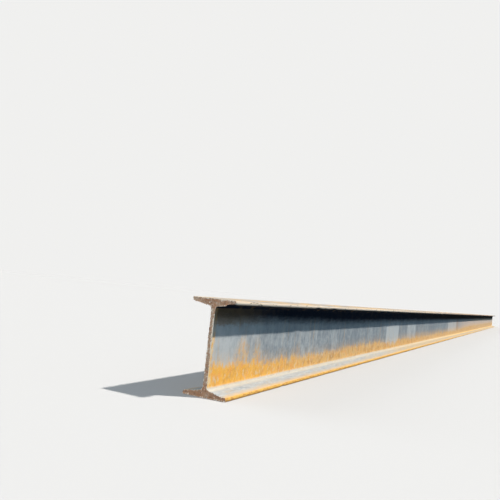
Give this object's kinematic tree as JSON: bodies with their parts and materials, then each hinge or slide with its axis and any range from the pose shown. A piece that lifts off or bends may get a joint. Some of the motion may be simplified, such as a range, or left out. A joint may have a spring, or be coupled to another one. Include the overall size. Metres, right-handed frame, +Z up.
{
  "type": "tapered-flange steel i-beam",
  "caption": "Long hot-rolled steel I-beam: an upright web between wide flanges that taper to rounded tips, filleted at the root, sawn square at the ends, with streaked, rusting mill finish.",
  "frame": {"origin": "middle of the length and width, on the underside of the bottom flange", "axes": "+X along the beam, from the end nearest in the picture to its far end; +Z up, out of the top flange; +Y across the flanges, to the left as seen from the near end"},
  "size_m": [10, 0.102, 0.2],
  "materials": {
    "rolled_steel": "as-rolled blue-grey mill scale, streaked pale, with orange rust rising from the lower flange"
  },
  "bodies": {
    "root": {"i_beam": "rolled_steel"}
  },
  "joints": []
}
